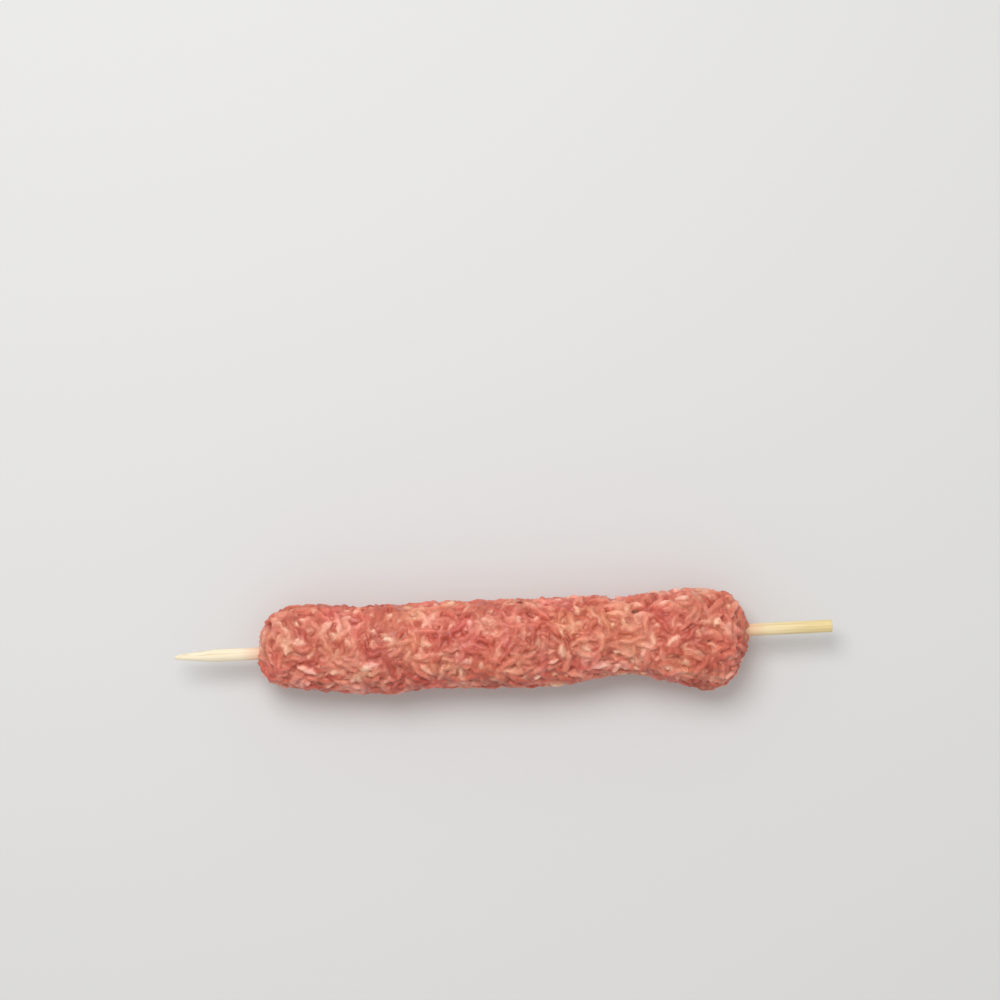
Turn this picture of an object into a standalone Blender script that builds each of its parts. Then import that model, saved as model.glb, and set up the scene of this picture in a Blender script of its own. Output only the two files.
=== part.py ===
"""A raw kofta skewer: minced meat pressed by hand round a bamboo stick.

The skewer lies on its belly. Its stick runs along X, and the origin is the middle of its
footprint at the height of what it lies on. Sizes are metres.
"""

import math
import random

import bmesh
import bpy
from mathutils import Vector

# Stick: a round bamboo skewer, pointed at the -X end and sawn off square at the +X end.
STICK_LENGTH = 0.200
STICK_RADIUS = 0.0019
STICK_SIDES = 24
POINT_LENGTH = 0.012
POINT_TIP_RADIUS = 0.0006
POINT_RINGS = 6
POINT_FULLNESS = 0.9
SAWN_EDGE = 0.0002
SHARP_EDGE_DEGREES = 40

# Meat: a log on the middle of the stick, its axis AXIS_HEIGHT above the table.
MEAT_LENGTH = 0.1485
MEAT_RADIUS = 0.0126
AXIS_HEIGHT = 0.0115
SLUMP = 0.95
POINT_END_ROUND = 0.0098
SAWN_END_ROUND = 0.0112
STICK_CLEARANCE = 0.0003

# Each squeeze of the hand: station along X, reach along X, side that it shows on in degrees
# (0 is +Y, 90 is up, 180 is -Y), how sharply it keeps to that side, and its height.
SQUEEZES = (
    (-0.060, 0.012, 10, 1.0, 0.0014),
    (-0.066, 0.010, 180, 1.0, -0.0016),
    (-0.037, 0.011, 185, 1.5, 0.0013),
    (-0.046, 0.013, 95, 2.0, -0.0005),
    (-0.030, 0.010, 60, 2.0, 0.0002),
    (-0.010, 0.012, 105, 2.0, 0.0007),
    (0.008, 0.014, 190, 1.0, 0.0014),
    (0.012, 0.010, 75, 2.0, -0.0003),
    (0.034, 0.008, 185, 1.0, -0.0010),
    (0.035, 0.009, 80, 1.5, -0.0006),
    (0.038, 0.009, 5, 1.0, -0.0006),
    (0.053, 0.010, 80, 1.5, 0.0008),
    (0.063, 0.013, 190, 1.2, 0.0045),
    (0.056, 0.011, 15, 1.2, 0.0003),
)

# Core of the meat: the log under its mince, made of rings of points.
CORE_RINGS = 90
CORE_SIDES = 48
CORE_DEPTH = 0.0006

# Mince: short strands pressed into the log's surface. STRAND_END is the share of its radius
# that a strand keeps at its two ends, and one crumpled below STRAND_SHORTEST of its step
# between points is left out.
STRAND_SEED = 11
STRAND_COUNT = 900
STRAND_RADIUS = (0.0013, 0.0019)
STRAND_LENGTH = (0.005, 0.012)
STRAND_SINK = 0.75
STRAND_BEND = 0.5
STRAND_POINTS = 5
STRAND_SIDES = 7
STRAND_END = 0.6
STRAND_SHORTEST = 0.25

# Skin: one closed mesh over core and strands, thinned to what the part can hold.
SKIN_VOXEL = 0.00055
SKIN_SMOOTHING = 2
SKIN_SMOOTH_SHARE = 0.5
SKIN_TRIANGLES = 10200

# Table top that presses the belly flat, wide enough for the thickest of the meat.
TABLE_WIDTH = 4 * MEAT_RADIUS
TABLE_DEPTH = MEAT_RADIUS

MEAT_COLOUR = (0.60, 0.185, 0.130)
MEAT_ROUGHNESS = 0.42
BAMBOO_COLOUR = (0.80, 0.62, 0.36)
BAMBOO_ROUGHNESS = 0.6


def clear_scene():
    """Remove whatever the scene starts with."""
    for thing in list(bpy.data.objects):
        bpy.data.objects.remove(thing)


def make_material(name, colour, roughness):
    """A plain Principled surface of one colour."""
    material = bpy.data.materials.new(name)
    material.use_nodes = True
    shader = material.node_tree.nodes["Principled BSDF"]
    shader.inputs["Base Color"].default_value = (*colour, 1.0)
    shader.inputs["Roughness"].default_value = roughness
    shader.inputs["Metallic"].default_value = 0.0
    return material


def object_from_bmesh(name, shape, material=None):
    """Link a bmesh to the scene as an object of its own."""
    mesh = bpy.data.meshes.new(name)
    shape.to_mesh(mesh)
    shape.free()
    thing = bpy.data.objects.new(name, mesh)
    bpy.context.scene.collection.objects.link(thing)
    if material:
        mesh.materials.append(material)
    return thing


def bridge(shape, first, second):
    """Join two rings of as many points with faces."""
    count = len(first)
    for i in range(count):
        j = (i + 1) % count
        shape.faces.new((first[i], first[j], second[j], second[i]))


def tube(shape, centres, radii, sides):
    """A closed round tube along centres, with one radius for each of them."""
    rings = []
    last = len(centres) - 1
    for i, centre in enumerate(centres):
        along = (centres[min(i + 1, last)] - centres[max(i - 1, 0)]).normalized()
        across = along.orthogonal().normalized() if i == 0 else across
        across = (across - along * across.dot(along)).normalized()
        third = along.cross(across)
        ring = []
        for k in range(sides):
            turn = 2 * math.pi * k / sides
            out = across * math.cos(turn) + third * math.sin(turn)
            ring.append(shape.verts.new(centre + out * radii[i]))
        rings.append(ring)
    for first, second in zip(rings, rings[1:]):
        bridge(shape, first, second)
    shape.faces.new(reversed(rings[0]))
    shape.faces.new(rings[-1])


def make_stick(material):
    """The bamboo skewer, one turned solid along X."""
    half = STICK_LENGTH / 2
    stations = []
    radii = []
    for i in range(POINT_RINGS + 1):
        share = i / POINT_RINGS
        stations.append(-half + share * POINT_LENGTH)
        grown = share**POINT_FULLNESS
        radii.append(POINT_TIP_RADIUS + grown * (STICK_RADIUS - POINT_TIP_RADIUS))
    stations += [half - SAWN_EDGE, half]
    radii += [STICK_RADIUS, STICK_RADIUS - SAWN_EDGE]
    shape = bmesh.new()
    centres = [Vector((x, 0, AXIS_HEIGHT)) for x in stations]
    tube(shape, centres, radii, STICK_SIDES)
    bmesh.ops.recalc_face_normals(shape, faces=shape.faces)
    stick = object_from_bmesh("bamboo_skewer", shape, material)
    stick.data.shade_smooth()
    stick.data.set_sharp_from_angle(angle=math.radians(SHARP_EDGE_DEGREES))
    return stick


def end_rounding(x):
    """Share of the full radius that the log has at x, falling to 0 at its two ends."""
    half = MEAT_LENGTH / 2
    from_end = half - abs(x)
    rounding = POINT_END_ROUND if x < 0 else SAWN_END_ROUND
    if from_end >= rounding:
        return 1.0
    lean = 1 - max(from_end, 0) / rounding
    return math.sqrt(max(0, 1 - lean * lean))


def log_radius(x, turn):
    """Radius of the hand-pressed log at station x, towards turn (0 is +Y, a quarter is up)."""
    radius = MEAT_RADIUS
    for station, reach, side, keep, height in SQUEEZES:
        facing = (1 + math.cos(turn - math.radians(side))) / 2
        near = math.exp(-(((x - station) / reach) ** 2))
        radius += height * near * facing**keep
    return radius * end_rounding(x)


def log_point(x, turn, depth):
    """A point of the log's surface, or depth under it."""
    radius = max(log_radius(x, turn) - depth, 0)
    rise = SLUMP * radius * math.sin(turn)
    return Vector((x, radius * math.cos(turn), AXIS_HEIGHT + rise))


def core_stations():
    """Stations of the core's rings, closer together towards the two ends."""
    half = MEAT_LENGTH / 2 - CORE_DEPTH
    return [
        half * math.sin(math.pi * (i / (CORE_RINGS - 1) - 0.5))
        for i in range(1, CORE_RINGS - 1)
    ]


def add_core(shape):
    """The smooth log that the strands are pressed into."""
    rings = []
    for x in core_stations():
        turns = [2 * math.pi * k / CORE_SIDES for k in range(CORE_SIDES)]
        rings.append([shape.verts.new(log_point(x, turn, CORE_DEPTH)) for turn in turns])
    for first, second in zip(rings, rings[1:]):
        bridge(shape, first, second)
    shape.faces.new(reversed(rings[0]))
    shape.faces.new(rings[-1])


def add_strand(shape, draw):
    """One strand of mince, lying along the log's surface in a direction of its own."""
    radius = draw.uniform(*STRAND_RADIUS)
    length = draw.uniform(*STRAND_LENGTH)
    depth = radius * STRAND_SINK
    reach = MEAT_LENGTH / 2 - radius
    x = draw.uniform(-reach, reach)
    turn = draw.uniform(0, 2 * math.pi)
    heading = draw.uniform(0, math.pi)
    bend = draw.uniform(-STRAND_BEND, STRAND_BEND)
    step = length / (STRAND_POINTS - 1)
    centres = []
    for _ in range(STRAND_POINTS):
        centres.append(log_point(x, turn, depth))
        x = min(max(x + step * math.cos(heading), -reach), reach)
        turn += step * math.sin(heading) / MEAT_RADIUS
        heading += bend
    radii = [radius] * STRAND_POINTS
    radii[0] = radii[-1] = radius * STRAND_END
    shortest = min((b - a).length for a, b in zip(centres, centres[1:]))
    if shortest > step * STRAND_SHORTEST:
        tube(shape, centres, radii, STRAND_SIDES)


def add_modifier(thing, kind, **settings):
    """Add a modifier and set it."""
    modifier = thing.modifiers.new(kind.title(), kind)
    for name, value in settings.items():
        setattr(modifier, name, value)


def apply_modifiers(thing):
    """Turn the object's evaluated shape into its own mesh."""
    graph = bpy.context.evaluated_depsgraph_get()
    mesh = bpy.data.meshes.new_from_object(thing.evaluated_get(graph))
    thing.modifiers.clear()
    thing.data = mesh


def make_skin():
    """Core and strands under one closed skin, thinned to SKIN_TRIANGLES."""
    draw = random.Random(STRAND_SEED)
    shape = bmesh.new()
    add_core(shape)
    for _ in range(STRAND_COUNT):
        add_strand(shape, draw)
    skin = object_from_bmesh("kofta_meat", shape)
    add_modifier(skin, "REMESH", mode="VOXEL", voxel_size=SKIN_VOXEL)
    add_modifier(skin, "SMOOTH", factor=SKIN_SMOOTH_SHARE, iterations=SKIN_SMOOTHING)
    add_modifier(skin, "TRIANGULATE")
    apply_modifiers(skin)
    ratio = SKIN_TRIANGLES / len(skin.data.polygons)
    add_modifier(skin, "DECIMATE", ratio=ratio)
    apply_modifiers(skin)
    return skin


def make_cutter(name, shape):
    """A helper that only cuts: drawn as wire, and never rendered."""
    bmesh.ops.recalc_face_normals(shape, faces=shape.faces)
    cutter = object_from_bmesh(name, shape)
    cutter.hide_render = True
    cutter.display_type = "WIRE"
    return cutter


def bore_cutter():
    """The room that the stick takes up in the meat."""
    shape = bmesh.new()
    ends = [Vector((x, 0, AXIS_HEIGHT)) for x in (-STICK_LENGTH / 2, STICK_LENGTH / 2)]
    tube(shape, ends, [STICK_RADIUS + STICK_CLEARANCE] * 2, STICK_SIDES)
    return make_cutter("bore_cutter", shape)


def table_cutter():
    """The table top, which presses the belly of the meat flat."""
    shape = bmesh.new()
    bmesh.ops.create_cube(shape, size=1)
    bmesh.ops.scale(shape, vec=(STICK_LENGTH, TABLE_WIDTH, TABLE_DEPTH), verts=shape.verts)
    bmesh.ops.translate(shape, vec=(0, 0, -TABLE_DEPTH / 2), verts=shape.verts)
    return make_cutter("table_cutter", shape)


def make_meat(material):
    """The minced meat with the stick's hole through it and a flat belly."""
    meat = make_skin()
    for cutter in (table_cutter(), bore_cutter()):
        add_modifier(meat, "BOOLEAN", operation="DIFFERENCE", object=cutter)
    meat.data.materials.clear()
    meat.data.materials.append(material)
    return meat


def centre_on_footprint(things):
    """Move everything sideways so that the origin is the middle of the whole footprint."""
    graph = bpy.context.evaluated_depsgraph_get()
    ys = []
    for thing in things:
        mesh = thing.evaluated_get(graph).to_mesh()
        ys += [point.co.y for point in mesh.vertices]
    middle = (min(ys) + max(ys)) / 2
    for thing in bpy.data.objects:
        thing.location.y = -middle


def main():
    clear_scene()
    stick = make_stick(make_material("bamboo", BAMBOO_COLOUR, BAMBOO_ROUGHNESS))
    meat = make_meat(make_material("minced_meat", MEAT_COLOUR, MEAT_ROUGHNESS))
    centre_on_footprint((stick, meat))


main()
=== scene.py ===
# %% [markdown]
# # A raw kofta skewer
# A kofta is mince that a cook presses round a stick by hand. Seen close up it is a log of short,
# soft strands, red where they are lean and nearly white where they are fat. The stick that runs
# through it is split bamboo, with long fibres.
# The solid pieces exist already, at their real size. This lesson loads them as a fixed frame and
# gives each one its finish: a skin of mince for the meat, and fibres for the stick.

# %% Load the frame
import math

import bmesh
import bpy
from mathutils import Color, Matrix, Vector


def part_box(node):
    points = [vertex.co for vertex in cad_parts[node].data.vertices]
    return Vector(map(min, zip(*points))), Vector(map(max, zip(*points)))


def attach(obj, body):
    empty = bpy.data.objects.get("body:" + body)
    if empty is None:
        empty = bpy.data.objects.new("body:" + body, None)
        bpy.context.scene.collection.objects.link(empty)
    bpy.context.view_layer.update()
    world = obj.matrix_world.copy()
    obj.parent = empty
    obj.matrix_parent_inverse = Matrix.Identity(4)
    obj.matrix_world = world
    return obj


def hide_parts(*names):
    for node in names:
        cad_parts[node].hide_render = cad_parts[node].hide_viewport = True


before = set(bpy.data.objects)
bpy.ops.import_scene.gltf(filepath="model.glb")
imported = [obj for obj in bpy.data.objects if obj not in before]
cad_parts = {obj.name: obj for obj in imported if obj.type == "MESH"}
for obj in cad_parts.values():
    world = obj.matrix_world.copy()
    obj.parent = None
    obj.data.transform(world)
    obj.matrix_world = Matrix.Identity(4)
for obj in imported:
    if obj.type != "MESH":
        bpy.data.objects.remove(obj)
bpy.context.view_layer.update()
print("the frame holds", sorted(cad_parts))

# %% [markdown]
# ## Where things are
# No piece is placed by eye. The stick's box gives its length, its thickness and its axis, and the
# meat's box gives the two ends of the log. All sizes are metres.

# %% Measure the stick and the meat
stick_low, stick_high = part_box("bamboo_skewer")
meat_low, meat_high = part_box("kofta_meat")
stick_length = stick_high.x - stick_low.x
stick_radius = (stick_high.z - stick_low.z) / 2
axis_y = (stick_low.y + stick_high.y) / 2
axis_z = (stick_low.z + stick_high.z) / 2
print(f"the stick is {stick_length:.4f} long and {2 * stick_radius:.4f} thick")
print(f"the meat runs from {meat_low.x:.4f} to {meat_high.x:.4f}")

# %% [markdown]
# ## The camera
# The photo was taken from straight above, so the camera looks straight down. Two points that
# show clearly in the photo, the ends of the stick, fix everything else: how many metres a pixel
# covers, how far the picture is turned, and what lies in its middle. Pixels are counted from the
# top left corner of a picture 1000 pixels wide.

# %% Stand the camera where the photo's stood
POINT_PIXEL = Vector((175.0, 657.6))
SAWN_PIXEL = Vector((832.0, 625.8))
PICTURE_WIDTH = 1000
CAMERA_HEIGHT = 0.9
SENSOR_WIDTH = 36.0

along = (SAWN_PIXEL - POINT_PIXEL).normalized()
across = Vector((along.y, -along.x))
pixel = stick_length / (SAWN_PIXEL - POINT_PIXEL).length
to_middle = Vector((PICTURE_WIDTH / 2, PICTURE_WIDTH / 2)) - POINT_PIXEL
middle_x = stick_low.x + to_middle.dot(along) * pixel
middle_y = axis_y + to_middle.dot(across) * pixel

camera = bpy.data.objects.new("camera", bpy.data.cameras.new("camera"))
camera.data.sensor_width = SENSOR_WIDTH
camera.data.lens = SENSOR_WIDTH * CAMERA_HEIGHT / (PICTURE_WIDTH * pixel)
camera.location = Vector((middle_x, middle_y, axis_z + CAMERA_HEIGHT))
camera.rotation_euler = (0, 0, math.atan2(along.y, along.x))
bpy.context.scene.collection.objects.link(camera)
bpy.context.scene.camera = camera
print(f"a pixel covers {pixel * 1000:.3f} mm, and the lens is {camera.data.lens:.0f} mm")

# %% [markdown]
# ## The light
# In the photo the shadows are soft and fall down and to the right, so the main light hangs high
# up beyond the top of the picture, a little to its left. A lamp that is a point or a sun would
# draw hard shadows, and a wide panel doesn't. A bright sky from all round fills the shadows. The
# standard view keeps colours as they are mixed, which makes them easy to compare.

# %% Hang a wide panel
PANEL_SIZE = 0.5
PANEL_DISTANCE = 0.9
PANEL_HEIGHT_DEGREES = 62
PANEL_TURN_DEGREES = 20
PANEL_POWER = 4.3

height = math.radians(PANEL_HEIGHT_DEGREES)
turn = math.radians(PANEL_TURN_DEGREES)
towards_panel = Vector(
    (-math.sin(turn) * math.cos(height), math.cos(turn) * math.cos(height), math.sin(height))
)
panel = bpy.data.objects.new("panel", bpy.data.lights.new("panel", "AREA"))
panel.data.shape = "DISK"
panel.data.size = PANEL_SIZE
panel.data.energy = PANEL_POWER
panel.location = towards_panel * PANEL_DISTANCE
panel.rotation_euler = towards_panel.to_track_quat("Z", "Y").to_euler()
bpy.context.scene.collection.objects.link(panel)
print(f"the panel hangs {panel.location.z:.2f} above the table")

# %% Fill the shadows from the sky
SKY_STRENGTH = 0.62
SKY_COLOUR = (1.0, 0.99, 0.97, 1.0)

sky = bpy.data.worlds.new("sky")
sky.use_nodes = True
sky.node_tree.nodes["Background"].inputs["Color"].default_value = SKY_COLOUR
sky.node_tree.nodes["Background"].inputs["Strength"].default_value = SKY_STRENGTH
bpy.context.scene.world = sky
bpy.context.scene.view_settings.view_transform = "Standard"
print("the sky's strength is", SKY_STRENGTH)

# %% [markdown]
# ## The floor
# The part lies on a plain pale floor, which catches its shadow. A plain bmesh grid is enough. It
# lies a hair under the part, because two surfaces in one plane show through each other in
# patches.

# %% Lay the floor
FLOOR_HALF = 1.5
FLOOR_DROP = 0.00005
FLOOR_GREY = 0.70
FLOOR_ROUGHNESS = 0.9


def object_from(shape, name, material=None):
    """Turn a bmesh into an object of the scene."""
    mesh = bpy.data.meshes.new(name)
    shape.to_mesh(mesh)
    shape.free()
    if material:
        mesh.materials.append(material)
    thing = bpy.data.objects.new(name, mesh)
    bpy.context.scene.collection.objects.link(thing)
    return thing


floor_paint = bpy.data.materials.new("floor")
floor_paint.use_nodes = True
paint = floor_paint.node_tree.nodes["Principled BSDF"]
paint.inputs["Base Color"].default_value = (FLOOR_GREY, FLOOR_GREY, FLOOR_GREY, 1.0)
paint.inputs["Roughness"].default_value = FLOOR_ROUGHNESS
shape = bmesh.new()
bmesh.ops.create_grid(shape, size=FLOOR_HALF)
bmesh.ops.translate(shape, vec=(0, 0, -FLOOR_DROP), verts=shape.verts)
floor = object_from(shape, "floor", floor_paint)
print(f"the floor is {2 * FLOOR_HALF:.0f} wide")

# %% [markdown]
# ## Helpers for node trees
# Both the shapes and the finishes below are made by nodes, so a few helpers keep the wiring short.
# `put` adds a node and fills its inputs: an input that gets another node's output is linked, and
# any other value is simply set. A node can hold several sockets of one name, one for each kind of
# data, and only the one in use counts.

# %% Add a node and fill its inputs


def find(sockets, key):
    """The socket with that number, or the one in use with that name."""
    if isinstance(key, int):
        return sockets[key]
    return next(socket for socket in sockets if socket.enabled and socket.name == key)


def put(tree, kind, inputs=None, **settings):
    """Add a node, choose its settings, and fill its inputs with values or other outputs."""
    node = tree.nodes.new(kind)
    for name, value in settings.items():
        setattr(node, name, value)
    for key, value in (inputs or {}).items():
        socket = find(node.inputs, key)
        if isinstance(value, bpy.types.NodeSocket):
            tree.links.new(value, socket)
        else:
            socket.default_value = value
    return node


# %% Calculate with nodes


def calculate(tree, operation, *values):
    """The result of a Math node."""
    return put(tree, "ShaderNodeMath", dict(enumerate(values)), operation=operation).outputs[0]


def calculate_vector(tree, operation, *values):
    """The result of a Vector Math node."""
    node = put(tree, "ShaderNodeVectorMath", dict(enumerate(values)), operation=operation)
    return find(node.outputs, "Value" if operation == "DOT_PRODUCT" else "Vector")


def stretch(tree, vector, scale):
    """A vector made longer or shorter."""
    inputs = {"Vector": vector, "Scale": scale}
    return put(tree, "ShaderNodeVectorMath", inputs, operation="SCALE").outputs[0]


def rescale(tree, value, low, high, to_low=0.0, to_high=1.0):
    """The value moved from one range to another, and kept inside it."""
    inputs = {"Value": value, "From Min": low, "From Max": high, "To Min": to_low}
    inputs["To Max"] = to_high
    return put(tree, "ShaderNodeMapRange", inputs).outputs[0]


# %% [markdown]
# ## Helpers for Geometry Nodes
# A tree here takes a mesh, adds to it or moves it, and gives a mesh back. Its sizes are named
# inputs, so one tree can be used several times with other values. Each tree ends by turning its
# instances into real mesh and by giving the result its material. A modifier's inputs are reached
# by their identifiers, which the tree's interface lists beside their names.

# %% Build a geometry tree


def new_tree(name, inputs):
    """A Geometry Nodes tree with a mesh in, a mesh out, and the named inputs."""
    tree = bpy.data.node_groups.new(name, "GeometryNodeTree")
    everything = {"Mesh": "Geometry", **inputs, "Material": "Material"}
    for label, kind in everything.items():
        tree.interface.new_socket(label, in_out="INPUT", socket_type="NodeSocket" + kind)
    tree.interface.new_socket("Mesh", in_out="OUTPUT", socket_type="NodeSocketGeometry")
    return tree, put(tree, "NodeGroupInput").outputs


def close_tree(tree, given, geometry):
    """Make instances real, give everything its material, and hand the mesh out."""
    real = put(tree, "GeometryNodeRealizeInstances", {"Geometry": geometry}).outputs[0]
    inputs = {"Geometry": real, "Material": given["Material"]}
    dressed = put(tree, "GeometryNodeSetMaterial", inputs).outputs[0]
    put(tree, "NodeGroupOutput", {"Mesh": dressed})
    print(f"the tree of the {tree.name} has {len(tree.nodes)} nodes")


# %% Run modifiers on a mesh


def add_tree(thing, tree, **values):
    """Put the tree on a thing as a modifier, and set its inputs by their identifiers."""
    modifier = thing.modifiers.new(tree.name, "NODES")
    modifier.node_group = tree
    for item in tree.interface.items_tree:
        label = item.name.lower().replace(" ", "_")
        if item.in_out == "INPUT" and label in values:
            modifier[item.identifier] = values[label]


def add_modifier(thing, kind, **settings):
    """Add one of Blender's own modifiers and set it."""
    modifier = thing.modifiers.new(kind.title(), kind)
    for name, value in settings.items():
        setattr(modifier, name, value)


def apply_modifiers(thing):
    """Turn what the modifiers make into the thing's own mesh."""
    graph = bpy.context.evaluated_depsgraph_get()
    mesh = bpy.data.meshes.new_from_object(
        thing.evaluated_get(graph), preserve_all_data_layers=True, depsgraph=graph
    )
    thing.modifiers.clear()
    thing.data = mesh
    print(f"{thing.name}: {len(mesh.polygons)} faces")


# %% [markdown]
# ## Numbers that travel with a mesh
# A tree can write a number on every point of a mesh under a name, and a later tree or a material
# reads it back by that name. A tree can also ask another mesh what it says at its nearest place.
# That is how a strand finds the log under it, and later how the skin finds its strand again.

# %% Write, read and look up values


def store(tree, geometry, name, value):
    """Write a number on every point of the geometry, under a name."""
    inputs = {"Geometry": geometry, "Name": name, "Value": value}
    kind = "GeometryNodeStoreNamedAttribute"
    return put(tree, kind, inputs, data_type="FLOAT", domain="POINT").outputs[0]


def recall(tree, name):
    """The number that store wrote under that name."""
    inputs = {"Name": name}
    return put(tree, "GeometryNodeInputNamedAttribute", inputs, data_type="FLOAT").outputs[0]


def nearest(tree, mesh, value, place, kind="FLOAT"):
    """What a mesh says at the point of its surface that is nearest to a place."""
    inputs = {"Mesh": mesh, "Value": value, "Sample Position": place}
    return put(tree, "GeometryNodeSampleNearestSurface", inputs, data_type=kind).outputs[0]


def foot_of(tree, mesh, place):
    """The point of a mesh's surface that is nearest to a place."""
    inputs = {"Geometry": mesh, "Sample Position": place}
    node = put(tree, "GeometryNodeProximity", inputs, target_element="FACES")
    return node.outputs["Position"]


# %% [markdown]
# ## The log under the mince
# The cook's hand gives the meat its form, and the solid has that form already. A log could be
# drawn anew from a cylinder, but a copy of the solid keeps every bulge and waist. The copy is
# merged, and its hole is filled with a plug a little thicker than the stick, so that the meat
# closes on the stick. A voxel remesh with a lot of smoothing then wipes out the solid's own coarse
# strands, and the log shrinks by a hair to leave room for the mince.

# %% Copy the solid, fill its hole and smooth it
MERGE_DISTANCE = 0.00001
PLUG_MARGIN = 0.0009
PLUG_PROUD = 0.0004
PLUG_SIDES = 32
LOG_VOXEL = 0.0008
LOG_SMOOTHING = 22
LOG_INSET = 0.0006
SMOOTHING_FACTOR = 0.5

shape = bmesh.new()
shape.from_mesh(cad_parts["kofta_meat"].data)
bmesh.ops.remove_doubles(shape, verts=shape.verts, dist=MERGE_DISTANCE)
plug_middle = Vector(((meat_low.x + meat_high.x) / 2, axis_y, axis_z))
bmesh.ops.create_cone(
    shape,
    cap_ends=True,
    segments=PLUG_SIDES,
    radius1=stick_radius + PLUG_MARGIN,
    radius2=stick_radius + PLUG_MARGIN,
    depth=meat_high.x - meat_low.x + 2 * PLUG_PROUD,
    matrix=Matrix.Translation(plug_middle) @ Matrix.Rotation(math.pi / 2, 4, "Y"),
)
log = object_from(shape, "log")
add_modifier(log, "REMESH", mode="VOXEL", voxel_size=LOG_VOXEL)
add_modifier(log, "SMOOTH", factor=SMOOTHING_FACTOR, iterations=LOG_SMOOTHING)
add_modifier(log, "DISPLACE", strength=-LOG_INSET, mid_level=0.0)
apply_modifiers(log)
log.data.shade_smooth()

# %% [markdown]
# ## One strand of mince
# Mince leaves the grinder as soft strands, which break into short lengths. A strand could be a
# stretched ball, but a curve with a round section is bent by one number. It is drawn one unit long
# and one unit wide, and each copy is stretched to its own size later. Every point remembers how
# far it rises above the strand's middle, because a later step lays the strand down on the log.

# %% Draw one strand
STRAND_STEPS = 7
STRAND_SIDES = 8
STRAND_END = 0.45


def one_strand(tree, given):
    """A bent strand, one unit long and one unit wide, narrower at its two ends."""
    bow = put(tree, "ShaderNodeCombineXYZ", {"Y": given["Bend"]}).outputs[0]
    ends = {"Start": (-0.5, 0, 0), "Middle": bow, "End": (0.5, 0, 0)}
    ends["Resolution"] = STRAND_STEPS
    line = put(tree, "GeometryNodeCurveQuadraticBezier", ends).outputs[0]
    share = put(tree, "GeometryNodeSplineParameter").outputs["Factor"]
    from_middle = calculate(tree, "MULTIPLY_ADD", share, 2.0, -1.0)
    squared = calculate(tree, "MULTIPLY", from_middle, from_middle)
    narrowing = calculate(tree, "MULTIPLY", squared, squared)
    width = calculate(tree, "SQRT", calculate(tree, "SUBTRACT", 1.0, narrowing))
    width = calculate(tree, "MAXIMUM", width, STRAND_END)
    line = put(tree, "GeometryNodeSetCurveRadius", {"Curve": line, "Radius": width}).outputs[0]
    section = {"Resolution": STRAND_SIDES, "Radius": 0.5}
    ring = put(tree, "GeometryNodeCurvePrimitiveCircle", section).outputs[0]
    inputs = {"Curve": line, "Profile Curve": ring, "Fill Caps": True}
    strand = put(tree, "GeometryNodeCurveToMesh", inputs).outputs[0]
    place = put(tree, "GeometryNodeInputPosition").outputs[0]
    rise = put(tree, "ShaderNodeSeparateXYZ", {"Vector": place}).outputs["Z"]
    return store(tree, strand, "rise", rise)


# %% [markdown]
# ## Scatter the strands
# There are over three thousand strands, far too many to place by hand, so nodes place them. If
# they fell in all directions, they would cross and melt together, but real ones lie side by side
# in small bundles. So a slowly changing pattern gives the heading, and each strand strays from
# it by a random angle. Every random number has a fixed seed, so that each run gives the same
# mince.

# %% Turn each strand along the flow
FLOW_TURN = 3 * math.tau


def draw(tree, low, high, seed):
    """A random number between low and high, another for each point."""
    inputs = {"Min": low, "Max": high, "Seed": seed}
    node = put(tree, "FunctionNodeRandomValue", inputs, data_type="FLOAT")
    return find(node.outputs, "Value")


def either_way(tree, most, seed):
    """A random number from minus the most to plus the most, another for each point."""
    return draw(tree, calculate(tree, "MULTIPLY", most, -1.0), most, seed)


def turn_along(tree, given, rotation, seed):
    """The rotation that lays each strand flat on the surface and along the flow."""
    place = put(tree, "GeometryNodeInputPosition").outputs[0]
    often = calculate(tree, "DIVIDE", 1.0, given["Flow size"])
    flow = {"Vector": place, "Scale": often, "Detail": 0.0}
    flow = put(tree, "ShaderNodeTexNoise", flow).outputs[0]
    stray = either_way(tree, given["Straying"], seed)
    angle = {"Axis": (0, 0, 1), "Angle": calculate(tree, "MULTIPLY_ADD", flow, FLOW_TURN, stray)}
    heading = put(tree, "FunctionNodeAxisAngleToRotation", angle).outputs[0]
    turned = {"Rotation": rotation, "Rotate By": heading}
    return put(tree, "FunctionNodeRotateRotation", turned, rotation_space="LOCAL").outputs[0]


# %% [markdown]
# Points spread evenly over the log, each at least a spacing from the next, and each gets a strand
# with a width, a length and a tone of its own. Each also gets a number, by which the skin can
# tell one strand from another once they are welded.

# %% Scatter strands over a log
CROWDING = 3.0
HIGHEST_NUMBER = 1000.0


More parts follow.
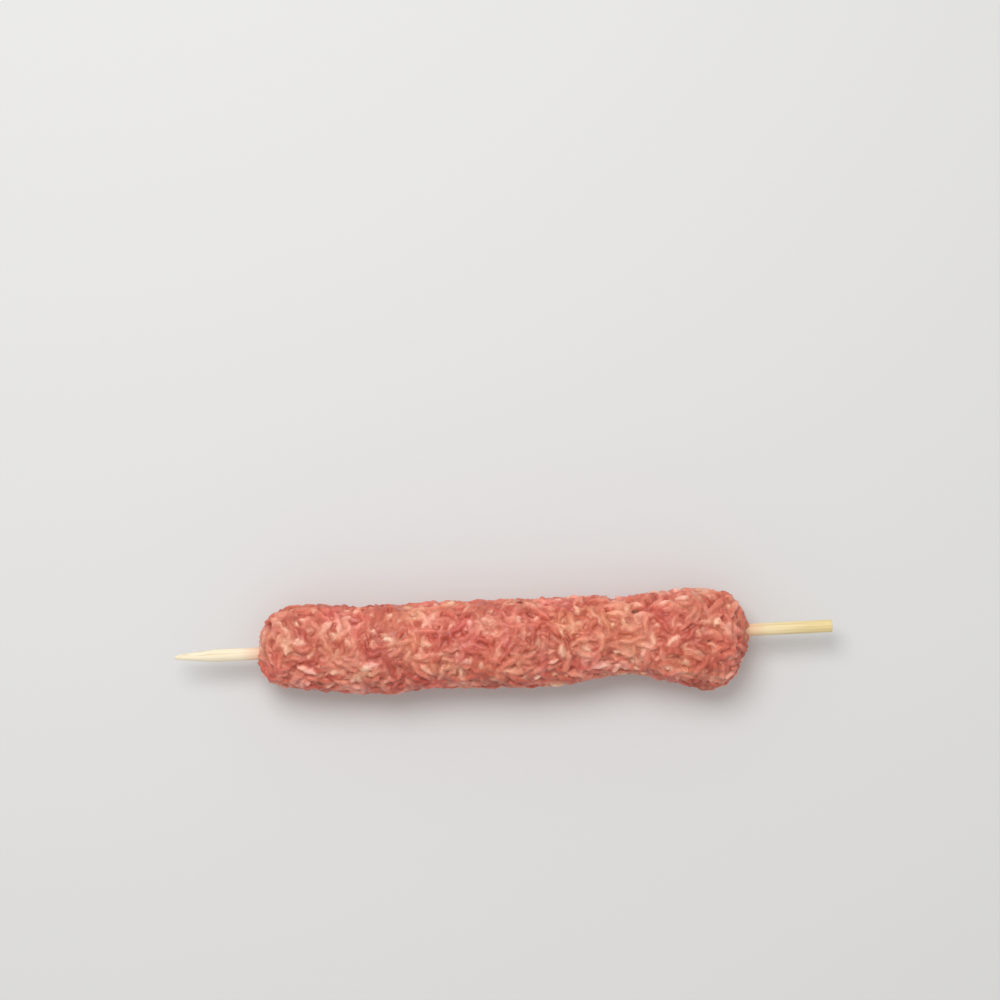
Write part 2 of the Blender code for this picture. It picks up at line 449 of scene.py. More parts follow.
def scatter(tree, given, surface, strand):
    """Strands on points spread over the surface, as instances."""
    spread = calculate(tree, "MULTIPLY", given["Spacing"], given["Spacing"])
    inputs = {"Mesh": surface, "Distance Min": given["Spacing"], "Seed": given["Seed"]}
    inputs["Density Max"] = calculate(tree, "DIVIDE", CROWDING, spread)
    kind = "GeometryNodeDistributePointsOnFaces"
    spots = put(tree, kind, inputs, distribute_method="POISSON")
    seeds = [calculate(tree, "ADD", given["Seed"], float(i)) for i in range(1, 7)]
    own = {
        "width": draw(tree, given["Narrowest"], given["Widest"], seeds[0]),
        "tone": draw(tree, given["Darkest"], given["Palest"], seeds[1]),
        "spice": given["Spice"],
        "strand": draw(tree, 0.0, HIGHEST_NUMBER, seeds[2]),
        "lift": either_way(tree, given["Unevenness"], seeds[3]),
    }
    points = spots.outputs["Points"]
    for name, value in own.items():
        points = store(tree, points, name, value)
    rotation = turn_along(tree, given, spots.outputs["Rotation"], seeds[4])
    width = recall(tree, "width")
    length = draw(tree, given["Shortest"], given["Longest"], seeds[5])
    size = put(tree, "ShaderNodeCombineXYZ", {"X": length, "Y": width, "Z": width}).outputs[0]
    inputs = {"Points": points, "Instance": strand, "Rotation": rotation, "Scale": size}
    return put(tree, "GeometryNodeInstanceOnPoints", inputs).outputs[0]


# %% [markdown]
# ## Lay the strands down
# Straight strands would stick out of a round log like matches. So every point of a strand is
# moved to the place on the log that is nearest to it, and lifted by its own rise. That wraps each
# strand round the log, and round the log's ends too. A little noise then kinks it. What would
# reach below the table is pressed flat on it.

# %% Press the mince on the table
# The limits to the sides lie at the floor's edges, so that only the height is ever held
TABLE_LIMIT = (-FLOOR_HALF, -FLOOR_HALF, 0.0)


def press_on_table(tree, geometry, settling=0.0):
    """Let the points sink by the settling, but none of them under the table."""
    place = put(tree, "GeometryNodeInputPosition").outputs[0]
    drop = put(tree, "ShaderNodeCombineXYZ", {"Z": settling}).outputs[0]
    sunk = calculate_vector(tree, "SUBTRACT", place, drop)
    held = calculate_vector(tree, "MAXIMUM", sunk, TABLE_LIMIT)
    inputs = {"Geometry": geometry, "Position": held}
    return put(tree, "GeometryNodeSetPosition", inputs).outputs[0]


# %% Wrap the strands round the log


def wrap(tree, given, surface, strands):
    """Move the strands' points so that each strand hugs the surface."""
    place = put(tree, "GeometryNodeInputPosition").outputs[0]
    normal = put(tree, "GeometryNodeInputNormal").outputs[0]
    out = nearest(tree, surface, normal, place, "FLOAT_VECTOR")
    rise = calculate(tree, "SUBTRACT", recall(tree, "rise"), given["Sink"])
    height = calculate(tree, "MULTIPLY_ADD", rise, recall(tree, "width"), recall(tree, "lift"))
    foot = foot_of(tree, surface, place)
    laid = calculate_vector(tree, "ADD", foot, stretch(tree, out, height))
    inputs = {"Geometry": strands, "Position": laid}
    strands = put(tree, "GeometryNodeSetPosition", inputs).outputs[0]
    often = calculate(tree, "DIVIDE", 1.0, given["Kink size"])
    pattern = {"Vector": place, "W": recall(tree, "strand"), "Scale": often}
    noise = put(tree, "ShaderNodeTexNoise", pattern, noise_dimensions="4D").outputs["Color"]
    centred = calculate_vector(tree, "SUBTRACT", noise, (0.5, 0.5, 0.5))
    inputs = {"Geometry": strands, "Offset": stretch(tree, centred, given["Kink"])}
    strands = put(tree, "GeometryNodeSetPosition", inputs).outputs[0]
    return press_on_table(tree, strands)


# %% [markdown]
# ## One tree for every kind of mince
# The tree takes the mesh that is there already and joins its own strands to it, so that several
# kinds can be added one after another. The log comes in as an object of its own, because the
# strands have to lie on the log and not on each other.

# %% Put the strand tree together
sizes = ["Spacing", "Narrowest", "Widest", "Shortest", "Longest", "Unevenness"]
patterns = ["Flow size", "Kink size", "Kink"]
shares = ["Straying", "Bend", "Sink", "Darkest", "Palest", "Spice"]
strand_inputs = {label: "Float" for label in sizes + patterns + shares}

strand_tree, given = new_tree("strands", {"Log": "Object", **strand_inputs, "Seed": "Int"})
surface = put(strand_tree, "GeometryNodeObjectInfo", {"Object": given["Log"]})
surface = surface.outputs["Geometry"]
strands = scatter(strand_tree, given, surface, one_strand(strand_tree, given))
strands = put(strand_tree, "GeometryNodeRealizeInstances", {"Geometry": strands}).outputs[0]
strands = wrap(strand_tree, given, surface, strands)
joined = put(strand_tree, "GeometryNodeJoinGeometry", {"Geometry": strands})
strand_tree.links.new(given["Mesh"], joined.inputs["Geometry"])
close_tree(strand_tree, given, joined.outputs[0])

# %% [markdown]
# ## Lean, fat and spice
# The same tree runs four times. Crumbs fill the surface first and lie lowest. Lean meat makes the
# long strands over them, fat breaks into short pale bits, and a few dark specks of spice are
# stuck on top. A tone of 0 is the deepest red and 1 is white fat. All of it starts from the log
# sunk a little inwards, so that the mince and not the log makes the surface.

# %% Describe the four kinds
mince_kinds = {
    "crumbs": dict(
        spacing=0.0018, narrowest=0.0015, widest=0.0022, shortest=0.0018, longest=0.0034,
        unevenness=0.00012, straying=math.pi, bend=0.3, sink=0.20, darkest=0.20, palest=0.65,
        spice=0.0, seed=41,
    ),
    "lean": dict(
        spacing=0.0026, narrowest=0.0020, widest=0.0027, shortest=0.0036, longest=0.0075,
        unevenness=0.00018, straying=0.4, bend=0.9, sink=0.06, darkest=0.10, palest=0.55,
        spice=0.0, seed=3,
    ),
    "fat": dict(
        spacing=0.0041, narrowest=0.0014, widest=0.0025, shortest=0.0016, longest=0.0046,
        unevenness=0.00014, straying=1.2, bend=0.6, sink=0.0, darkest=0.66, palest=1.0,
        spice=0.0, seed=17,
    ),
    "spice": dict(
        spacing=0.0150, narrowest=0.0007, widest=0.0011, shortest=0.0008, longest=0.0016,
        unevenness=0.00005, straying=math.pi, bend=0.2, sink=-0.60, darkest=0.0, palest=0.1,
        spice=1.0, seed=29,
    ),
}
for kind, own in mince_kinds.items():
    print(f"{kind}: {own['shortest'] * 1000:.1f} to {own['longest'] * 1000:.1f} mm long")

# %% Lay the mince on the log
CORE_DEPTH = 0.00005
FLOW_SIZE = 0.009
KINK_SIZE = 0.004
KINK = 0.0014

minced_meat = bpy.data.materials.new("minced_meat")
mince = bpy.data.objects.new("mince", log.data.copy())
bpy.context.scene.collection.objects.link(mince)
add_modifier(mince, "DISPLACE", strength=-CORE_DEPTH, mid_level=0.0)
for own in mince_kinds.values():
    add_tree(
        mince,
        strand_tree,
        log=log,
        flow_size=FLOW_SIZE,
        kink_size=KINK_SIZE,
        kink=KINK,
        material=minced_meat,
        **own,
    )
apply_modifiers(mince)

# %% [markdown]
# ## One skin over the mince
# Real mince sticks together, so thousands of separate strands would look wrong where they meet.
# A voxel remesh welds them into one closed skin, with soft seams between them. Its faces are far
# more than a smooth place needs, so Decimate thins them where the skin bends least.

# %% Weld the mince into a skin
SKIN_VOXEL = 0.00034
SKIN_SMOOTHING = 1
MOST_TRIANGLES = 188000

skin = bpy.data.objects.new("mince_skin", mince.data.copy())
bpy.context.scene.collection.objects.link(skin)
add_modifier(skin, "REMESH", mode="VOXEL", voxel_size=SKIN_VOXEL)
add_modifier(skin, "SMOOTH", factor=SMOOTHING_FACTOR, iterations=SKIN_SMOOTHING)
add_modifier(skin, "TRIANGULATE")
apply_modifiers(skin)
thinning = min(1.0, MOST_TRIANGLES / len(skin.data.polygons))
add_modifier(skin, "DECIMATE", ratio=thinning)
apply_modifiers(skin)

# %% [markdown]
# ## Clear out the scraps
# The weld can close a small pocket between the strands, which stays behind as a loose scrap
# inside the meat. Nobody sees it, but the piece should be one closed body. The skin itself has
# nearly a hundred thousand points, so any island with only a few of them is such a scrap.

# %% Drop the scraps
FEWEST_POINTS = 5000


def drop_scraps(tree, geometry):
    """Delete the small loose scraps that the weld leaves inside the meat."""
    island = put(tree, "GeometryNodeInputMeshIsland").outputs["Island Index"]
    inputs = {"Value": 1, "Group ID": island}
    counted = put(tree, "GeometryNodeAccumulateField", inputs, data_type="INT")
    inputs = {"A": find(counted.outputs, "Total"), "B": FEWEST_POINTS}
    kind = "FunctionNodeCompare"
    small = put(tree, kind, inputs, data_type="INT", operation="LESS_THAN").outputs[0]
    inputs = {"Geometry": geometry, "Selection": small}
    return put(tree, "GeometryNodeDeleteGeometry", inputs, domain="POINT").outputs[0]


# %% [markdown]
# ## Give each point its strand back
# The remesh forgets which strand a point came from, so the skin looks it up again: each point
# takes its tone, its spice and its number from the strand nearest to it. The place where it looks
# is shifted by a little noise, which smears the colours as a kneading hand does.

# %% Look the strands up again
TONE_SOFTENING = 1


def blur(tree, value, times):
    """The value evened out with that of the neighbouring points."""
    inputs = {"Value": value, "Iterations": times}
    return put(tree, "GeometryNodeBlurAttribute", inputs, data_type="FLOAT").outputs[0]


def take_tones(tree, given, geometry, strands):
    """Give each point the tone, the spice and the number of the strand nearest to it."""
    place = put(tree, "GeometryNodeInputPosition").outputs[0]
    often = calculate(tree, "DIVIDE", 1.0, given["Smear size"])
    smear = put(tree, "ShaderNodeTexNoise", {"Vector": place, "Scale": often})
    smear = calculate_vector(tree, "SUBTRACT", smear.outputs["Color"], (0.5, 0.5, 0.5))
    smeared = calculate_vector(tree, "ADD", place, stretch(tree, smear, given["Smear"]))
    for name in ("tone", "spice"):
        found = nearest(tree, strands, recall(tree, name), smeared)
        geometry = store(tree, geometry, name, blur(tree, found, TONE_SOFTENING))
    number = nearest(tree, strands, recall(tree, "strand"), smeared)
    return store(tree, geometry, "strand", number)


# %% [markdown]
# ## Find the lines between strands
# Raw mince reads as strands because a thin shaded line runs between them. It is cut into the skin,
# and the colour is darkened along it as painted shade. Where two strands meet, neighbouring points
# have different numbers, so a point whose number is above the average of its neighbours lies
# beside a line. Only the side with the higher number is marked, which keeps the line thin.

# %% Mark where one strand meets another
SAME_STRAND = 0.01
EDGE_GAIN = 1.7


def mark_edges(tree, geometry):
    """Store up to 1 on the lines between strands and 0 inside them."""
    number = recall(tree, "strand")
    higher = calculate(tree, "SUBTRACT", number, blur(tree, number, 1))
    one_side = calculate(tree, "GREATER_THAN", higher, SAME_STRAND)
    line = calculate(tree, "MULTIPLY", blur(tree, one_side, 1), EDGE_GAIN)
    return store(tree, geometry, "edge", calculate(tree, "MINIMUM", line, 1.0))


# %% [markdown]
# ## Deepen the seams and fill the holes
# The weld softens the strands. So each point's height over the log is compared with the average
# round it, and what is left, the relief of the single strands, is made stronger. The lines
# between strands are cut in as well. Deep pits are filled up to the depth of a seam, because
# they would look like the pores of bread.

# %% Cut the seams deeper
SEAM_REACH = 14


def push(tree, geometry, direction, distance):
    """Move every point a distance in its own direction."""
    inputs = {"Geometry": geometry, "Offset": stretch(tree, direction, distance)}
    return put(tree, "GeometryNodeSetPosition", inputs).outputs[0]


def deepen_seams(tree, given, geometry, surface):
    """Make the relief stronger by a share, but fill what is deeper than a seam."""
    place = put(tree, "GeometryNodeInputPosition").outputs[0]
    normal = put(tree, "GeometryNodeInputNormal").outputs[0]
    out = nearest(tree, surface, normal, place, "FLOAT_VECTOR")
    above = calculate_vector(tree, "SUBTRACT", place, foot_of(tree, surface, place))
    geometry = store(tree, geometry, "proud", calculate_vector(tree, "DOT_PRODUCT", above, out))
    proud = recall(tree, "proud")
    relief = calculate(tree, "SUBTRACT", proud, blur(tree, proud, SEAM_REACH))
    geometry = store(tree, geometry, "relief", relief)
    deepest = calculate(tree, "MULTIPLY", given["Deepest seam"], -1.0)
    seam = calculate(tree, "MAXIMUM", recall(tree, "relief"), deepest)
    geometry = store(tree, geometry, "seam", seam)
    stronger = calculate(tree, "ADD", given["Seam deepening"], 1.0)
    wanted = calculate(tree, "MULTIPLY", recall(tree, "seam"), stronger)
    cut = calculate(tree, "MULTIPLY", given["Edge depth"], -1.0)
    wanted = calculate(tree, "MULTIPLY_ADD", recall(tree, "edge"), cut, wanted)
    return push(tree, geometry, out, calculate(tree, "SUBTRACT", wanted, recall(tree, "relief")))


# %% [markdown]
# ## The grain of the meat
# A strand isn't quite smooth. It is chopped muscle, with a grain about a millimetre wide. A noise
# moves the points in and out along their own normals, which shows in the outline too.

# %% Roughen the surface


def roughen(tree, given, geometry):
    """Give the surface the fine grain of the meat itself."""
    place = put(tree, "GeometryNodeInputPosition").outputs[0]
    often = calculate(tree, "DIVIDE", 1.0, given["Grain size"])
    grain = put(tree, "ShaderNodeTexNoise", {"Vector": place, "Scale": often})
    grain = calculate(tree, "SUBTRACT", grain.outputs[0], 0.5)
    grain = calculate(tree, "MULTIPLY", grain, given["Grain depth"])
    return push(tree, geometry, put(tree, "GeometryNodeInputNormal").outputs[0], grain)


# %% [markdown]
# ## All of it in one tree
# The second tree does these steps one after another. Last of all the whole skin settles by a
# hair and is pressed flat where it would sink into the table, as soft meat does under its own
# weight.

# %% Put the skin tree together
lengths = ["Smear size", "Smear", "Deepest seam", "Edge depth", "Grain size", "Grain depth"]
skin_inputs = {label: "Float" for label in ["Seam deepening", *lengths, "Settling"]}

skin_tree, given = new_tree("skin", {"Strands": "Object", "Log": "Object", **skin_inputs})
sources = [
    put(skin_tree, "GeometryNodeObjectInfo", {"Object": given[name]}).outputs["Geometry"]
    for name in ("Strands", "Log")
]
geometry = drop_scraps(skin_tree, given["Mesh"])
geometry = take_tones(skin_tree, given, geometry, sources[0])
geometry = mark_edges(skin_tree, geometry)
geometry = deepen_seams(skin_tree, given, geometry, sources[1])
geometry = roughen(skin_tree, given, geometry)
geometry = press_on_table(skin_tree, geometry, given["Settling"])
geometry = put(skin_tree, "GeometryNodeSetShadeSmooth", {"Geometry": geometry}).outputs[0]
close_tree(skin_tree, given, geometry)

# %% Run it on the skin
DEEPEST_SEAM = 0.00022

add_tree(
    skin,
    skin_tree,
    strands=mince,
    log=log,
    smear_size=0.0014,
    smear=0.0004,
    seam_deepening=0.5,
    deepest_seam=DEEPEST_SEAM,
    edge_depth=0.00028,
    grain_size=0.0009,
    grain_depth=0.00026,
    settling=0.00022,
    material=minced_meat,
)
apply_modifiers(skin)
for helper in (mince, log):
    bpy.data.objects.remove(helper)

# %% [markdown]
# ## The look of raw mince
# Blotches of colour could be laid over the whole log, but they wouldn't follow the strands. So
# colour comes from what the skin knows about itself. The tone of each strand runs through a band
# of colours from deep red to white fat. Small blotches inside a strand shift that tone, because
# lean meat is marbled too, and larger ones make some places fatter than others.

# %% Mix colours and patterns


def colour(red, green, blue):
    """A colour as seen on a screen, from 0 to 255, turned into what a shader mixes."""
    seen = Color((red / 255, green / 255, blue / 255))
    return (*seen.from_srgb_to_scene_linear(), 1.0)


def blotches(tree, place, size, detail=2.0):
    """A soft random pattern with blotches of that size, from 0 to 1."""
    inputs = {"Vector": place, "Scale": 1 / size, "Detail": detail}
    return put(tree, "ShaderNodeTexNoise", inputs).outputs[0]


def bands(tree, value, stops):
    """The colour that a value has on a scale of colours."""
    node = put(tree, "ShaderNodeValToRGB", {"Fac": value})
    marks = node.color_ramp.elements
    while len(marks) < len(stops):
        marks.new(1.0)
    for mark, (position, shade) in zip(marks, stops):
        mark.position = position
        mark.color = shade
    return node.outputs["Color"]


def start_finish(material):
    """The material's tree, its shader and the place of each point on the object."""
    material.use_nodes = True
    tree = material.node_tree
    place = put(tree, "ShaderNodeTexCoord").outputs["Object"]
    return tree, tree.nodes["Principled BSDF"], place


# %% Colour the strands
MEAT_BANDS = (
    (0.0, colour(191, 83, 65)),
    (0.3, colour(217, 119, 100)),
    (0.54, colour(231, 145, 123)),
    (0.68, colour(243, 168, 147)),
    (1.0, colour(252, 194, 174)),
)
MARBLING_SIZE = 0.0009
MARBLING_DETAIL = 3.0
MARBLING = 0.42
PATCH_SIZE = 0.0060
PATCH_STRETCH = 0.6
PATCH_DETAIL = 1.0
PATCHINESS = 1.3

tree, shader, place = start_finish(minced_meat)
tone = put(tree, "ShaderNodeAttribute", attribute_name="tone").outputs["Fac"]
drawn_out = calculate_vector(tree, "MULTIPLY", place, (PATCH_STRETCH, 1.0, 1.0))
marbling = blotches(tree, place, MARBLING_SIZE, MARBLING_DETAIL)
patches = blotches(tree, drawn_out, PATCH_SIZE, PATCH_DETAIL)
for pattern, amount in ((marbling, MARBLING), (patches, PATCHINESS)):
    centred = calculate(tree, "SUBTRACT", pattern, 0.5)
    tone = calculate(tree, "MULTIPLY_ADD", centred, amount, tone)
flesh = bands(tree, tone, MEAT_BANDS)
print("a strand's tone runs through", len(MEAT_BANDS), "colours")

# %% [markdown]
# ## Browner and yellower places
# Raw mince is not one red. Air turns it brown in some places and leaves others blood red, and
# fat makes some yellower. Each is a wide soft pattern that multiplies the colour by a tint close
# to white. The yellow grows towards the sawn end of the stick, as in the photo. Its pattern is
# read from aside, or both patterns would lie in the same places.

# %% Tint the flesh unevenly
BLOODY_TINT = (1.04, 0.85, 0.91, 1.0)
BROWNED_TINT = (0.95, 1.12, 1.04, 1.0)
BROWNED_SIZE = 0.009
PINK_TINT = (1.0, 1.0, 1.05, 1.0)
YELLOW_TINT = (1.0, 1.01, 0.86, 1.0)
YELLOW_SIZE = 0.012
YELLOW_DRIFT = (-0.05, 0.08)
TINT_RANGE = (0.3, 0.7)


def blend(tree, share, first, second):
    """The first colour where the share is 0, and the second where it is 1."""
    inputs = {"Factor": share, "A": first, "B": second}
    return find(put(tree, "ShaderNodeMix", inputs, data_type="RGBA").outputs, "Result")


def multiply(tree, first, second):
    """Two colours multiplied."""
    inputs = {"Factor": 1.0, "A": first, "B": second}
    kind = "ShaderNodeMix"
    node = put(tree, kind, inputs, data_type="RGBA", blend_type="MULTIPLY")
    return find(node.outputs, "Result")


browned = rescale(tree, blotches(tree, place, BROWNED_SIZE), *TINT_RANGE)
flesh = multiply(tree, flesh, blend(tree, browned, BLOODY_TINT, BROWNED_TINT))
aside = calculate_vector(tree, "ADD", place, (stick_length, 0.0, 0.0))
station = put(tree, "ShaderNodeSeparateXYZ", {"Vector": place}).outputs["X"]
drift = rescale(tree, station, meat_low.x, meat_high.x, *YELLOW_DRIFT)
yellowed = calculate(tree, "ADD", drift, blotches(tree, aside, YELLOW_SIZE))
yellowed = rescale(tree, yellowed, *TINT_RANGE)
flesh = multiply(tree, flesh, blend(tree, yellowed, PINK_TINT, YELLOW_TINT))
print(f"a patch is about {BROWNED_SIZE * 1000:.0f} or {YELLOW_SIZE * 1000:.0f} mm wide")

# %% [markdown]
# ## Painted shade in the seams, and spice
# Light reaches the seams less, and juice gathers there, so they are painted darker and redder:
# the darkness is painted shade, the red is juice. The geometry stored how deep each point lies and
# how near it is to a line between strands, and both darken the colour as painted shade. The specks
# of spice keep their own brown.

# %% Paint shade into the seams and colour the spice
WHITE = (1.0, 1.0, 1.0, 1.0)
SEAM_SHADE_AND_JUICE = (0.82, 0.78, 0.76, 1.0)
SEAM_SHADE_DEPTHS = (0.00005, -DEEPEST_SEAM)
EDGE_SHADE_AND_JUICE = (0.86, 0.73, 0.71, 1.0)
SPICE_RANGE = (0.35, 0.65)
SPICE_COLOUR = colour(128, 62, 34)

seam = put(tree, "ShaderNodeAttribute", attribute_name="seam").outputs["Fac"]
edge = put(tree, "ShaderNodeAttribute", attribute_name="edge").outputs["Fac"]
# The pits and the lines between strands are darkened as painted shade, tinted a little red for
# juice
for share, dark in ((rescale(tree, seam, *SEAM_SHADE_DEPTHS), SEAM_SHADE_AND_JUICE), (edge, EDGE_SHADE_AND_JUICE)):
    flesh = multiply(tree, flesh, blend(tree, share, WHITE, dark))
spice = put(tree, "ShaderNodeAttribute", attribute_name="spice").outputs["Fac"]
flesh = blend(tree, rescale(tree, spice, *SPICE_RANGE), flesh, SPICE_COLOUR)
tree.links.new(flesh, shader.inputs["Base Color"])
print(f"a seam is darkest at a depth of {DEEPEST_SEAM * 1000:.2f} mm")

# %% [markdown]
# ## Moist, soft meat
# Raw meat is moist in an uneven way, and one even gloss would make it look like plastic. So a
# pattern makes the shine sharper here and duller there, and a thin coat stands for the juice.
# Light goes about a millimetre into meat and comes out red, which subsurface scattering gives. A
# fine bump adds the fibres that are too small for the mesh.

# %% Make it moist
WET_SIZE = 0.004
WET_RANGE = (0.3, 0.7)
WET_TO_DRY = (0.34, 0.52)
SOFTNESS = 0.15
LIGHT_REACH = 0.0012
LIGHT_COLOURS = (1.0, 0.35, 0.25)
JUICE = 0.16
JUICE_ROUGHNESS = 0.22
FLESH_GRAIN_SIZE = 0.0005
FLESH_GRAIN_DETAIL = 3.0
FLESH_GRAIN_DEPTH = 0.00018


def add_bump(tree, shader, height, depth):
    """Fine relief in the shading, as deep as its height times depth."""
    inputs = {"Height": height, "Distance": depth}
    tree.links.new(put(tree, "ShaderNodeBump", inputs).outputs[0], shader.inputs["Normal"])


wetness = rescale(tree, blotches(tree, place, WET_SIZE), *WET_RANGE, *WET_TO_DRY)
tree.links.new(wetness, shader.inputs["Roughness"])
shader.inputs["Subsurface Weight"].default_value = SOFTNESS
shader.inputs["Subsurface Radius"].default_value = LIGHT_COLOURS
shader.inputs["Subsurface Scale"].default_value = LIGHT_REACH
shader.inputs["Coat Weight"].default_value = JUICE
shader.inputs["Coat Roughness"].default_value = JUICE_ROUGHNESS
flesh_grain = blotches(tree, place, FLESH_GRAIN_SIZE, FLESH_GRAIN_DETAIL)
add_bump(tree, shader, flesh_grain, FLESH_GRAIN_DEPTH)
print("the finish of the meat has", len(tree.nodes), "nodes")

# %% [markdown]
# ## Set the meat in the frame
# The skin stands for the solid meat, which is hidden but still there for the physics. It rides on
# the root, the only body, because a kofta skewer has no joint.

# %% Hand the meat over
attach(skin, "root")
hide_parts("kofta_meat")
print(skin.name, "stands for kofta_meat")

# %% [markdown]
# ## The bamboo stick
# The stick is a round bamboo skewer, whittled to a point at one end and sawn off square at the
# other. A cone set on a cylinder would leave a hard ring between them. So the outline is drawn
# once, from the tip to the middle of the sawn face, and spun round the axis, as on a lathe. It has
# many points along the shaft, so that the fibres, which come later, have something to push.

# %% Draw the stick's outline
POINT_LENGTH = 0.012
TIP_RADIUS = 0.0006
POINT_FULLNESS = 0.9
SAWN_EDGE = 0.00025
RING_GAP = 0.0006
EDGE_STEPS = 4


def stick_width(from_tip):
    """The stick's radius at a distance from its tip."""
    share = min(1.0, from_tip / POINT_LENGTH) ** POINT_FULLNESS
    return TIP_RADIUS + share * (stick_radius - TIP_RADIUS)


def rounded(centre, radius, start, end, steps):
    """Points of an arc in the plane of station and radius, between two angles."""
    angles = [start + (end - start) * i / steps for i in range(steps + 1)]
    return [(centre[0] + radius * math.cos(a), centre[1] + radius * math.sin(a)) for a in angles]


tip = rounded((TIP_RADIUS, 0.0), TIP_RADIUS, math.pi, math.pi / 2, EDGE_STEPS)
rings = round((stick_length - TIP_RADIUS - SAWN_EDGE) / RING_GAP)
stations = [TIP_RADIUS + i * RING_GAP for i in range(1, rings)]
shaft = [(x, stick_width(x)) for x in stations]
corner = (stick_length - SAWN_EDGE, stick_radius - SAWN_EDGE)
edge = rounded(corner, SAWN_EDGE, math.pi / 2, 0.0, EDGE_STEPS)
inward = [1 - i / EDGE_STEPS for i in range(1, EDGE_STEPS + 1)]
face = [(stick_length, share * (stick_radius - SAWN_EDGE)) for share in inward]
outline = tip + shaft + edge + face
print("the outline has", len(outline), "points")

# %% Spin the outline round the axis
STICK_SIDES = 64

shape = bmesh.new()
points = [shape.verts.new((stick_low.x + x, axis_y + r, axis_z)) for x, r in outline]
edges = [shape.edges.new(pair) for pair in zip(points, points[1:])]
bmesh.ops.spin(
    shape,
    geom=points + edges,
    cent=(0, axis_y, axis_z),
    axis=(1, 0, 0),
    angle=math.tau,
    steps=STICK_SIDES,
)
bmesh.ops.remove_doubles(shape, verts=shape.verts, dist=MERGE_DISTANCE)
bmesh.ops.recalc_face_normals(shape, faces=shape.faces)
stick = object_from(shape, "bamboo_stick")
print("the plain stick has", len(stick.data.polygons), "faces")

# %% [markdown]
# ## Fibres that can be felt
# Split bamboo is never quite smooth: its fibres stand out as long low ridges. A third tree pushes
# the surface in and out by a hair, with a noise pattern that is stretched along the stick. Real
# relief is better here than bump alone, because it also shows in the outline of the stick.

# %% Raise the fibres
fibre_inputs = {label: "Float" for label in ("Fibre length", "Fibre width", "Fibre depth")}
fibre_tree, given = new_tree("fibres", fibre_inputs)
place = put(fibre_tree, "GeometryNodeInputPosition").outputs[0]
normal = put(fibre_tree, "GeometryNodeInputNormal").outputs[0]
scales = {
    "X": calculate(fibre_tree, "DIVIDE", 1.0, given["Fibre length"]),
    "Y": calculate(fibre_tree, "DIVIDE", 1.0, given["Fibre width"]),
    "Z": calculate(fibre_tree, "DIVIDE", 1.0, given["Fibre width"]),
}
scales = put(fibre_tree, "ShaderNodeCombineXYZ", scales).outputs[0]
pattern = calculate_vector(fibre_tree, "MULTIPLY", place, scales)
ridge = put(fibre_tree, "ShaderNodeTexNoise", {"Vector": pattern, "Scale": 1.0}).outputs[0]
ridge = calculate(fibre_tree, "SUBTRACT", ridge, 0.5)
ridge = calculate(fibre_tree, "MULTIPLY", ridge, given["Fibre depth"])
geometry = push(fibre_tree, given["Mesh"], normal, ridge)
geometry = put(fibre_tree, "GeometryNodeSetShadeSmooth", {"Geometry": geometry}).outputs[0]
close_tree(fibre_tree, given, geometry)

# %% Run it on the stick
bamboo = bpy.data.materials.new("bamboo")
add_tree(
    stick,
    fibre_tree,
    fibre_length=0.030,
    fibre_width=0.0007,
    fibre_depth=0.00010,
    material=bamboo,
)
apply_modifiers(stick)

# %% [markdown]
# ## The look of bamboo
# Bamboo is pale straw with darker fibres that run the whole length of the stick. In the photo the
# wood is palest at the pointed end, and turns yellower over the last stretch before the sawn end.
# The fibres are the same kind of blotches as in the meat, drawn out along the stick, which needs
# no unwrapping and has no seam.

# %% Draw the fibres along the stick
PALE = colour(246, 233, 204)
STRAW = colour(235, 213, 153)
STREAK = colour(194, 160, 100)
YELLOWED_LENGTH = 0.05
STREAK_SIZE = 0.0006
STREAK_STRETCH = (0.03, 1.0, 1.0)
STREAK_DETAIL = 4.0
STREAK_RANGE = (0.5, 0.75)
STREAK_SHARE = 0.55

tree, shader, place = start_finish(bamboo)
station = put(tree, "ShaderNodeSeparateXYZ", {"Vector": place}).outputs["X"]
yellowed = rescale(tree, station, stick_high.x - YELLOWED_LENGTH, stick_high.x)
wood = blend(tree, yellowed, PALE, STRAW)
drawn_out = calculate_vector(tree, "MULTIPLY", place, STREAK_STRETCH)
streaks = blotches(tree, drawn_out, STREAK_SIZE, STREAK_DETAIL)
wood = blend(tree, rescale(tree, streaks, *STREAK_RANGE, 0.0, STREAK_SHARE), wood, STREAK)
print(f"the last {YELLOWED_LENGTH * 1000:.0f} mm of the stick turn yellow")

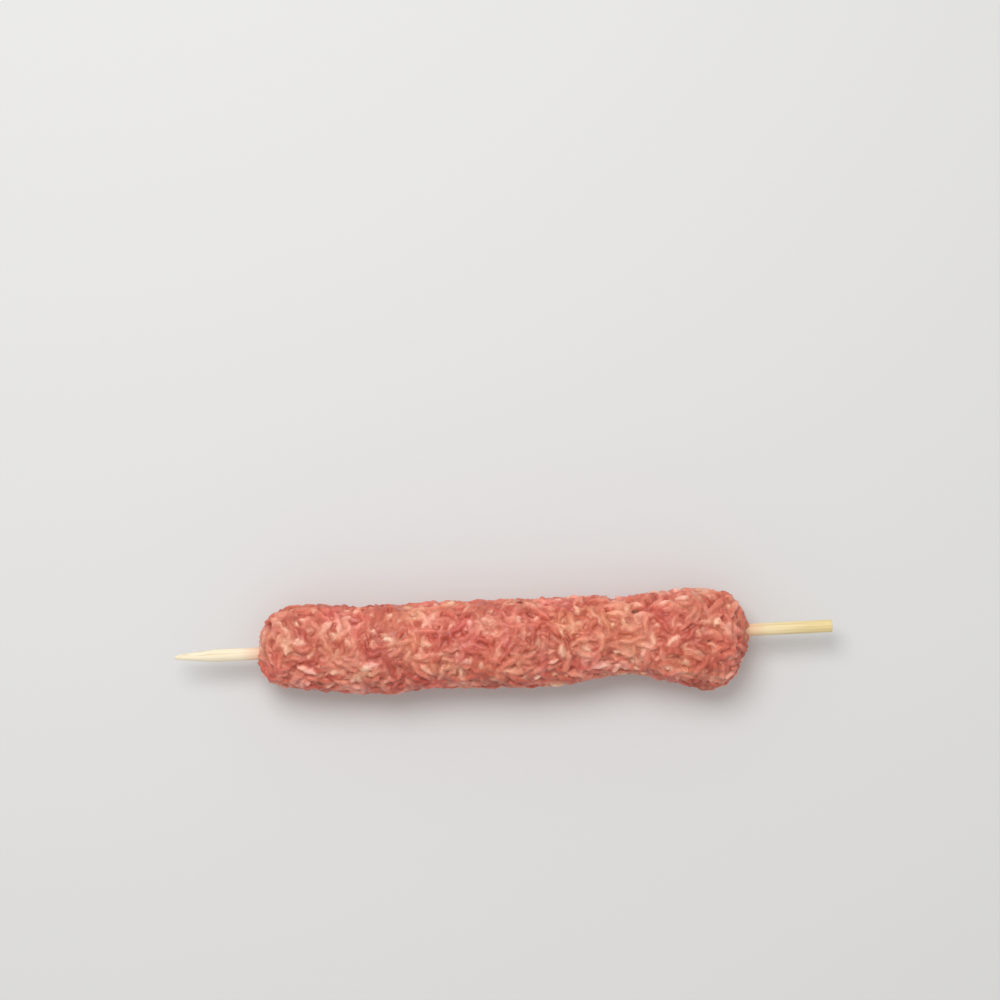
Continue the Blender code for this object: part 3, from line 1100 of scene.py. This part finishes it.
# %% [markdown]
# ## Stained by the meat
# Dry wood soaks up juice, so the stick is tinged pink where it comes out of the meat, and the
# stain fades over a few millimetres. The meat's two ends lie almost equally far from the middle,
# so one distance from the middle serves for both.

# %% Stain the stick beside the meat
STAIN = colour(226, 152, 126)
STAIN_REACH = 0.006
STAIN_SHARE = 0.5

from_middle = calculate(tree, "ABSOLUTE", station)
stain_end = meat_high.x + STAIN_REACH
stain = rescale(tree, from_middle, meat_high.x, stain_end, STAIN_SHARE, 0.0)
wood = blend(tree, stain, wood, STAIN)
print(f"the stain reaches {STAIN_REACH * 1000:.0f} mm along the stick")

# %% [markdown]
# ## The sawn face
# A cut across bamboo shows the ends of its fibres as dark dots. A cell pattern has one dot in
# each cell, and the dots are only let through on the face itself, by their place along the stick.
# The wood is dry, so it is dull all over, and a little duller on the streaks.

# %% Dot the sawn face and make the wood dull
DOT_SIZE = 0.00045
DOT_RANGE = (0.15, 0.35)
DOT_SHARE = 0.7
FACE_DEPTH = 0.00006
FACE_RANGE = (stick_high.x - 2 * FACE_DEPTH, stick_high.x - FACE_DEPTH)
DULL_RANGE = (0.3, 0.8)
SMOOTH_TO_ROUGH = (0.5, 0.7)
FIBRE_BUMP = 0.00005

dots = put(tree, "ShaderNodeTexVoronoi", {"Vector": place, "Scale": 1 / DOT_SIZE})
dots = rescale(tree, dots.outputs["Distance"], *DOT_RANGE, DOT_SHARE, 0.0)
dots = calculate(tree, "MULTIPLY", dots, rescale(tree, station, *FACE_RANGE))
wood = blend(tree, dots, wood, STREAK)
tree.links.new(wood, shader.inputs["Base Color"])
dullness = rescale(tree, streaks, *DULL_RANGE, *SMOOTH_TO_ROUGH)
tree.links.new(dullness, shader.inputs["Roughness"])
add_bump(tree, shader, streaks, FIBRE_BUMP)
print("the finish of the bamboo has", len(tree.nodes), "nodes")

# %% [markdown]
# ## Set the stick in the frame
# The stick is handed over as the meat was: it rides on the root and stands for its own solid.

# %% Hand the stick over
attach(stick, "root")
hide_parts("bamboo_skewer")
print(stick.name, "stands for bamboo_skewer")
